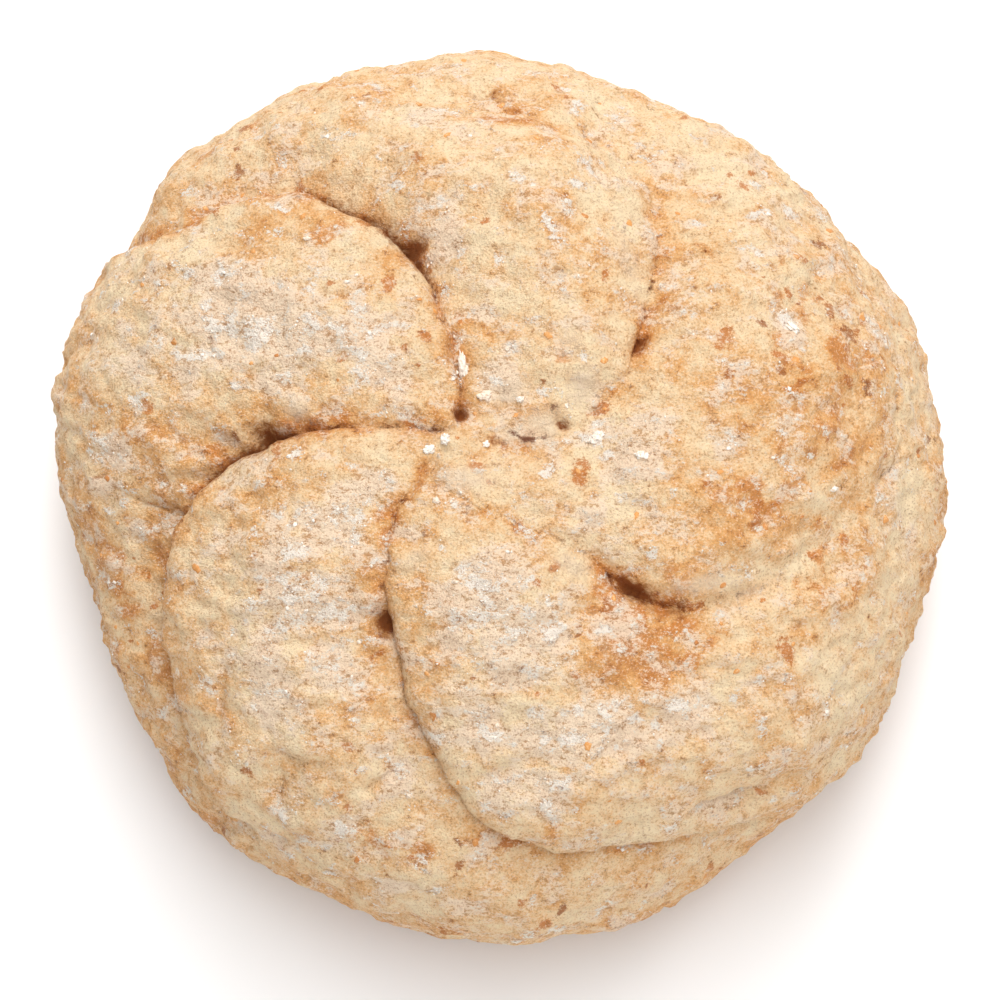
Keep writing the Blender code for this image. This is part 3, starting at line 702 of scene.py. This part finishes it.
def rising(tree, value, low, high, least=0.0, most=1.0):
    """A value that rises smoothly from the least to the most between low and high."""
    sockets = {"Value": value, "From Min": low, "From Max": high, "To Min": least, "To Max": most}
    return put(tree, "ShaderNodeMapRange", sockets, interpolation_type="SMOOTHSTEP").outputs["Result"]


def cover(tree, under, over, share):
    """One colour laid over another."""
    over = paint(over) if isinstance(over, tuple) else over
    under = paint(under) if isinstance(under, tuple) else under
    return put(tree, "ShaderNodeMix", {0: share, 6: under, 7: over}, data_type="RGBA").outputs[2]


def cloud(tree, where, wave, detail=2.0, roughness=0.5, distortion=0.0):
    """Cloudy noise of a wavelength in the units of its coordinates."""
    sockets = {"Vector": where, "Scale": 1.0 / wave, "Detail": detail, "Roughness": roughness}
    return put(tree, "ShaderNodeTexNoise", {**sockets, "Distortion": distortion}).outputs["Fac"]


def held(tree, name):
    """A number kept on the mesh."""
    return put(tree, "ShaderNodeAttribute", attribute_name=name).outputs["Fac"]


def in_millimetres(tree, stretch=(1.0, 1.0, 1.0)):
    """The place on the roll in millimetres, stretched along the axes."""
    place = put(tree, "ShaderNodeTexCoord").outputs["Object"]
    scale = tuple(1.0 / (MM * size) for size in stretch)
    return put(tree, "ShaderNodeVectorMath", {0: place, 1: scale}, operation="MULTIPLY").outputs[0]


def swing(tree, value, size):
    """How far cloudy noise stands above or below its middle, times a size."""
    sockets = {0: value, 1: size, 2: -0.5 * size}
    return put(tree, "ShaderNodeMath", sockets, operation="MULTIPLY_ADD").outputs[0]


def frayed(tree, name, clouds, size):
    """A number kept on the mesh, whose edges are broken up by cloudy noise."""
    return sums(tree, "ADD", held(tree, name), swing(tree, clouds, size))


def new_material(name):
    """A material, its nodes and its shader."""
    made = bpy.data.materials.new(name)
    made.use_nodes = True
    return made, made.node_tree, made.node_tree.nodes["Principled BSDF"]


def finish_with(tree, shader, colour, relief, strength, depth):
    """Joins the colour to the shader, and a bump from the relief."""
    tree.links.new(colour, shader.inputs["Base Color"])
    bump = put(tree, "ShaderNodeBump", {"Strength": strength, "Distance": depth, "Height": relief})
    tree.links.new(bump.outputs["Normal"], shader.inputs["Normal"])


def ramp(tree, value, *stops):
    """Colours that run into one another as a value rises, each with the value where it is pure."""
    made = put(tree, "ShaderNodeValToRGB", {"Fac": value})
    for place, colour in stops[1:-1]:
        made.color_ramp.elements.new(place)
    for element, (place, colour) in zip(made.color_ramp.elements, stops):
        element.position, element.color = place, paint(colour)
    return made.outputs["Color"]


crust_skin, skin, skin_shader = new_material("crust_skin")
place = in_millimetres(skin)
grain = cloud(skin, place, 1.3, detail=5.0, roughness=0.85)
powder = cloud(skin, in_millimetres(skin, stretch=(1.2, 0.85, 1.0)), 0.9, detail=4.0, roughness=0.85)
finest = cloud(skin, place, 0.24, detail=1.0)

# Plain dough, from pale cream to toast, grained all over; its tone also runs darker along the creases as
# painted shade.
baked = frayed(skin, "tone", grain, 1.5)
colour = ramp(skin, baked, (0.05, PALE_CREAM), (0.35, CREAM), (0.65, GOLD), (1.0, TOAST))

# Bran under the skin: clustered stains and ragged spots. The stain colour also lays painted shade along the
# creases.
stained_and_shaded = rising(skin, frayed(skin, "stain_and_shade", grain, 2.0), 0.4, 0.85, 0.0, 0.75)
colour = cover(skin, colour, STAIN_AND_SHADE, stained_and_shaded)
spot = rising(skin, frayed(skin, "bran_spot", grain, 3.0), 0.3, 0.6)
spot = sums(skin, "MULTIPLY", spot, rising(skin, held(skin, "bran_spot"), 0.0, 0.3, 0.0, 0.85))
bran_colour = cover(skin, BRAN, DARK_BRAN, rising(skin, held(skin, "bran_tone"), 0.4, 1.0, 0.0, 0.8))
colour = cover(skin, colour, bran_colour, spot)

# Flour: a thin veil with toasted skin in its gaps, and caked grains.
veil = rising(skin, frayed(skin, "flour_veil", powder, 2.6), 0.2, 0.58, 0.0, 0.85)
colour = cover(skin, colour, THIN_FLOUR, veil)
floured = rising(skin, held(skin, "flour_veil"), 0.1, 0.5, 0.2, 0.8)
gaps = sums(skin, "MULTIPLY", rising(skin, powder, 0.47, 0.38), floured)
colour = cover(skin, colour, DRIED_SKIN, gaps)
caked = rising(skin, frayed(skin, "flour_cake", powder, 3.0), 0.5, 0.66)
colour = cover(skin, colour, FLOUR, sums(skin, "MULTIPLY", caked, 0.92))
# Painted shade and painted highlight specks on the finest grain, standing in for its tiny relief.
colour = cover(skin, colour, GRAIN_SHADE, rising(skin, finest, 0.46, 0.28, 0.0, 0.55))
colour = cover(skin, colour, GRAIN_HIGHLIGHT, rising(skin, finest, 0.56, 0.72, 0.0, 0.6))

# Inner dough, and painted shade in the hollows and along the seams.
inside = rising(skin, frayed(skin, "inner", grain, 2.0), 0.2, 0.9, 0.0, 0.7)
colour = cover(skin, colour, INNER_DOUGH, inside)
deep = rising(skin, frayed(skin, "hollow", grain, 1.5), 0.12, 0.7)
colour = cover(skin, colour, HOLLOW_SHADE, sums(skin, "MULTIPLY", deep, 0.95))
line = rising(skin, frayed(skin, "seam_shade", grain, 3.0), 0.15, 0.85)
colour = cover(skin, colour, PAINTED_SEAM_SHADE, sums(skin, "MULTIPLY", line, 0.9))

# The base, browned on the hearth.
hearth = rising(skin, grain, 0.4, 0.6, 0.6, 0.95)
colour = cover(skin, colour, HEARTH_BROWN, sums(skin, "MULTIPLY", held(skin, "foot"), hearth))

rough = sums(skin, "ADD", rising(skin, grain, 0.4, 0.6, 0.68, 0.8), sums(skin, "MULTIPLY", caked, 0.15))
skin.links.new(rough, skin_shader.inputs["Roughness"])
skin_shader.inputs["IOR"].default_value = 1.4

height = sums(skin, "ADD", grain, sums(skin, "MULTIPLY", powder, 0.8))
height = sums(skin, "ADD", height, sums(skin, "MULTIPLY", caked, 0.05))
finish_with(skin, skin_shader, colour, height, strength=0.9, depth=0.8 * MM)

crust_mesh.materials.append(crust_skin)
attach(crust, "root")
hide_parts("roll")


# ----------------------------------------------------------------------------------------------------
# Bran flakes. They are scraps of wheat husk that lie in the skin, each a thin, ragged, slightly domed
# scale of a millimetre or so across, stuck down by the dough as it baked.
# ----------------------------------------------------------------------------------------------------

FLAKE_COUNT = 170
FLAKE_SIZES = (0.22 * MM, 0.62 * MM)
FLAKE_THICKNESS = (0.04 * MM, 0.1 * MM)
FLAKE_SIDES = 11
FLAKE_SINK = 0.1 * MM
SCATTER_GAP = 1.1 * MM

# Flakes keep off the rolled-in edge of the foot, the hollows and the seams.
FLAKE_END = 0.94
MOST_HOLLOW = 0.3
MOST_SEAM = 0.1
FLAKE_PALE = (216, 150, 82)
FLAKE_DARK = (178, 108, 48)

crust_tree = BVHTree.FromPolygons(points.tolist(), faces.tolist())
corner_normals = np.zeros(len(crust_mesh.vertices) * 3)
crust_mesh.vertices.foreach_get("normal", corner_normals)
corner_normals = corner_normals.reshape(-1, 3)


def scattered(count, weights, seed):
    """Points of the crust picked at random where the weights are high, never two too close."""
    chosen = np.random.default_rng(seed).choice(len(points), 4 * count, False, weights / weights.sum())
    kept = []
    for index in chosen:
        apart = ((points[kept] - points[index]) ** 2).sum(axis=1)
        if (apart > SCATTER_GAP**2).all():
            kept.append(index)
        if len(kept) == count:
            break
    return kept


def flat_axes(normal, turn):
    """Two directions along the crust at right angles, turned round its normal."""
    first = normal.orthogonal().normalized()
    first.rotate(Matrix.Rotation(turn, 3, normal))
    return first, normal.cross(first)


def settle(place, normal, reach=4.0 * MM):
    """Where a point near the crust meets it, looking down along a normal."""
    hit = crust_tree.ray_cast(place + reach * normal, -normal, 2.0 * reach)[0]
    return hit if hit else place


def joined(name, shapes, tones):
    """One mesh object from many small shapes, each a list of points and faces, with a tone for each."""
    corners, sides, values = [], [], []
    for (shape_points, shape_faces), tone in zip(shapes, tones):
        sides += [tuple(len(corners) + index for index in face) for face in shape_faces]
        corners += shape_points
        values += [tone] * len(shape_points)
    mesh = bpy.data.meshes.new(name)
    mesh.from_pydata(corners, [], sides)
    mesh.update()
    mesh.shade_smooth()
    store(mesh, "tone", np.array(values))
    return put_in_scene(name, mesh)


def flake(place, normal):
    """A ragged scale that follows the crust: a domed top, a rim sunk in the dough and a flat underside."""
    size, thickness = random.uniform(*FLAKE_SIZES), random.uniform(*FLAKE_THICKNESS)
    long_way, cross_way = flat_axes(normal, random.uniform(0.0, math.tau))
    narrow = random.uniform(0.5, 0.95)
    outline = [size * random.uniform(0.6, 1.2) for _ in range(FLAKE_SIDES)]
    rings = [[], [], []]
    for side, radius in enumerate(outline):
        angle = math.tau * side / FLAKE_SIDES
        out = radius * (math.cos(angle) * long_way + narrow * math.sin(angle) * cross_way)
        rim = settle(place + out, normal)
        rings[0].append(settle(place + 0.75 * out, normal) + thickness * normal)
        rings[1].append(rim + 0.2 * thickness * normal)
        rings[2].append(rim - FLAKE_SINK * normal)
    middle = settle(place, normal)
    top, base = middle + 1.15 * thickness * normal, middle - FLAKE_SINK * normal
    corners = [top, *rings[0], *rings[1], *rings[2], base]
    sides = []
    for side in range(FLAKE_SIDES):
        here, ahead = 1 + side, 1 + (side + 1) % FLAKE_SIDES
        sides.append((0, here, ahead))
        for ring in (0, FLAKE_SIDES):
            sides.append((here + ring, here + ring + FLAKE_SIDES, ahead + ring + FLAKE_SIDES, ahead + ring))
        sides.append((len(corners) - 1, ahead + 2 * FLAKE_SIDES, here + 2 * FLAKE_SIDES))
    return [tuple(corner) for corner in corners], sides


open_skin = (arc < FLAKE_END * FOOT_ARC) * (hollow < MOST_HOLLOW) * (seam_shade < MOST_SEAM)
flake_weights = areas * (0.1 + bran_spot) * open_skin
flake_places = scattered(FLAKE_COUNT, flake_weights, seed=7)
flake_shapes = [flake(Vector(points[index]), Vector(corner_normals[index])) for index in flake_places]
flakes = joined("bran_flakes", flake_shapes, [random.random() for _ in flake_shapes])

bran_husk, husk, husk_shader = new_material("bran_husk")
ribs = cloud(husk, in_millimetres(husk), 0.35, detail=3.0, roughness=0.65)
colour = cover(husk, FLAKE_PALE, FLAKE_DARK, rising(husk, held(husk, "tone"), 0.35, 1.0, 0.0, 0.8))
colour = cover(husk, colour, CREAM, rising(husk, ribs, 0.5, 0.68, 0.0, 0.55))
finish_with(husk, husk_shader, colour, ribs, strength=0.6, depth=0.12 * MM)
husk_shader.inputs["Roughness"].default_value = 0.62
flakes.data.materials.append(bran_husk)
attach(flakes, "root")


# ----------------------------------------------------------------------------------------------------
# Loose flour. It is dry wheat flour from the baker's bench: caked clumps the size of a pinhead that
# lodged by the hub and on the lobes, and crumbs and grains dusted wherever the flour lies thick.
# ----------------------------------------------------------------------------------------------------

# Clumps set where they lodged, as reach and bearing from the hub, half length, half width and heading.
CLUMPS = (
    (7.8, 86, 1.35, 0.5, 95), (5.0, 56, 0.75, 0.5, 10), (1.9, 222, 0.5, 0.5, 0), (4.3, 212, 0.62, 0.45, 20),
    (8.6, 251, 0.35, 0.3, 0), (3.4, 334, 0.4, 0.3, 40), (7.6, 28, 0.4, 0.3, 0), (42.5, 352, 0.4, 0.3, 10),
    (15.8, 357, 0.9, 0.5, 25), (20.6, 352, 0.6, 0.4, 0), (38.8, 18, 0.8, 0.5, 135),
    (28.0, 128, 0.35, 0.25, 0),
)
CRUMB_COUNT = 80
CRUMB_SIZES = (0.14 * MM, 0.34 * MM)
GRAIN_COUNT = 2200
GRAIN_SIZES = (0.06 * MM, 0.17 * MM)
LUMP_HEIGHT = 0.6
FLOUR_WHITE = (252, 242, 230)
FLOUR_CREAM = (240, 216, 190)
FLOUR_SHADE = (222, 190, 156)


def ball(subdivisions):
    """The points and faces of a ball of radius 1."""
    made = bmesh.new()
    bmesh.ops.create_icosphere(made, subdivisions=subdivisions, radius=1.0)
    corners = [corner.co.copy() for corner in made.verts]
    sides = [tuple(corner.index for corner in face.verts) for face in made.faces]
    made.free()
    return corners, sides


def lump_of_flour(place, normal, half_length, half_width, turn, corners, sides):
    """A rough flattened lump that lies on the crust."""
    long_way, cross_way = flat_axes(normal, turn)
    half_height = LUMP_HEIGHT * min(half_length, half_width)
    shift = Vector((random.uniform(-50.0, 50.0), random.uniform(-50.0, 50.0), 0.0))
    made = []
    for corner in corners:
        ragged = 1.0 + 0.7 * noise.noise(1.6 * corner + shift) + 0.5 * noise.noise(4.0 * corner + shift)
        out = ragged * (half_length * corner.x * long_way + half_width * corner.y * cross_way)
        made.append(tuple(place + out + (0.45 + corner.z * ragged) * half_height * normal))
    return made, sides


clump_ball = ball(4)
flour_shapes = []
for reach, bearing, half_length, half_width, heading in CLUMPS:
    spot = unroll(from_hub(reach, bearing)[None, :], LOBE_SWELL)[0]
    index = int(np.argmin(((sheet - spot) ** 2).sum(axis=1)))
    up, along = Vector(corner_normals[index]), math.radians(heading)
    turn = flat_axes(up, 0.0)[0].xy.angle_signed(Vector((math.cos(along), math.sin(along))), 0.0)
    lie = (Vector(points[index]), up, half_length * MM, half_width * MM, -turn)
    flour_shapes.append(lump_of_flour(*lie, *clump_ball))

flour_weights = areas * np.clip(flour_cake, 0.01, 1.0) ** 2 * (arc < WAIST_ARC) * (hollow < MOST_HOLLOW)
crumb_places = scattered(CRUMB_COUNT, flour_weights, seed=11)
grain_weights = flour_weights / flour_weights.sum()
grain_places = np.random.default_rng(23).choice(len(points), GRAIN_COUNT, False, grain_weights)
for places, sizes, narrow, speck in (
    (crumb_places, CRUMB_SIZES, 0.75, ball(2)),
    (grain_places, GRAIN_SIZES, 0.8, ball(1)),
):
    for index in places:
        size, turn = random.uniform(*sizes), random.uniform(0.0, math.tau)
        lie = (Vector(points[index]), Vector(corner_normals[index]), size, narrow * size, turn)
        flour_shapes.append(lump_of_flour(*lie, *speck))
loose_flour = joined("loose_flour", flour_shapes, [random.random() for _ in flour_shapes])

flour_dust, dust, dust_shader = new_material("flour_dust")
dust_grain = cloud(dust, in_millimetres(dust), 0.25, detail=2.0)
colour = cover(dust, FLOUR_WHITE, FLOUR_CREAM, rising(dust, held(dust, "tone"), 0.4, 1.0, 0.0, 0.7))
colour = cover(dust, colour, FLOUR_SHADE, rising(dust, dust_grain, 0.5, 0.3, 0.0, 0.7))
finish_with(dust, dust_shader, colour, dust_grain, strength=0.9, depth=0.2 * MM)
dust_shader.inputs["Roughness"].default_value = 0.95
loose_flour.data.materials.append(flour_dust)
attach(loose_flour, "root")


# ----------------------------------------------------------------------------------------------------
# The table and the light. The roll lies on a plain white table under one long soft lamp, a little behind
# it, with a weak one in front to fill the shade and pale walls all round. The camera looks down on it.
# ----------------------------------------------------------------------------------------------------

TABLE_SIZE = 6.0
TABLE_WHITE = (250, 250, 250)
LAMP_WIDTH = 0.5
LAMP_LENGTH = 1.5
LAMP_PLACE = Vector((0.04, 0.48, 0.9))
LAMP_POWER = 14.9
FILL_SIZE = 0.7
FILL_PLACE = Vector((0.35, -0.8, 0.35))
FILL_POWER = 3.0
WALL_LIGHT = 0.34
CAMERA_HEIGHT_ANGLE = 83.0
CAMERA_DISTANCE = 0.44
CAMERA_LENS = 135.8
CAMERA_SENSOR = 36.0
NEAREST_SEEN = 0.01
AIM = Vector((0.0, -1.0 * MM, 22.0 * MM))

table_mesh = bpy.data.meshes.new("table")
edge = 0.5 * TABLE_SIZE
table_corners = [(-edge, -edge, 0.0), (edge, -edge, 0.0), (edge, edge, 0.0), (-edge, edge, 0.0)]
table_mesh.from_pydata(table_corners, [], [(0, 1, 2, 3)])
table = put_in_scene("table", table_mesh)
table_top, _, table_shader = new_material("table_top")
table_shader.inputs["Base Color"].default_value = paint(TABLE_WHITE)
table_shader.inputs["Roughness"].default_value = 0.9
table_mesh.materials.append(table_top)

for name, place, width, length, power in (
    ("lamp", LAMP_PLACE, LAMP_WIDTH, LAMP_LENGTH, LAMP_POWER),
    ("fill", FILL_PLACE, FILL_SIZE, FILL_SIZE, FILL_POWER),
):
    light = bpy.data.lights.new(name, "AREA")
    light.shape = "RECTANGLE"
    light.size = width
    light.size_y = length
    light.energy = power
    lamp = put_in_scene(name, light)
    lamp.location = place
    lamp.rotation_euler = (AIM - place).to_track_quat("-Z", "Y").to_euler()

room = bpy.data.worlds.new("room")
room.use_nodes = True
walls = room.node_tree.nodes["Background"]
walls.inputs["Color"].default_value = (1.0, 1.0, 1.0, 1.0)
walls.inputs["Strength"].default_value = WALL_LIGHT
bpy.context.scene.world = room

lens = bpy.data.cameras.new("camera")
lens.lens = CAMERA_LENS
lens.sensor_width = CAMERA_SENSOR
lens.clip_start = NEAREST_SEEN
camera = put_in_scene("camera", lens)
tilt = math.radians(CAMERA_HEIGHT_ANGLE)
camera.location = AIM + CAMERA_DISTANCE * Vector((0.0, -math.cos(tilt), math.sin(tilt)))
camera.rotation_euler = (AIM - camera.location).to_track_quat("-Z", "Y").to_euler()
bpy.context.scene.camera = camera
bpy.context.scene.view_settings.view_transform = "Standard"
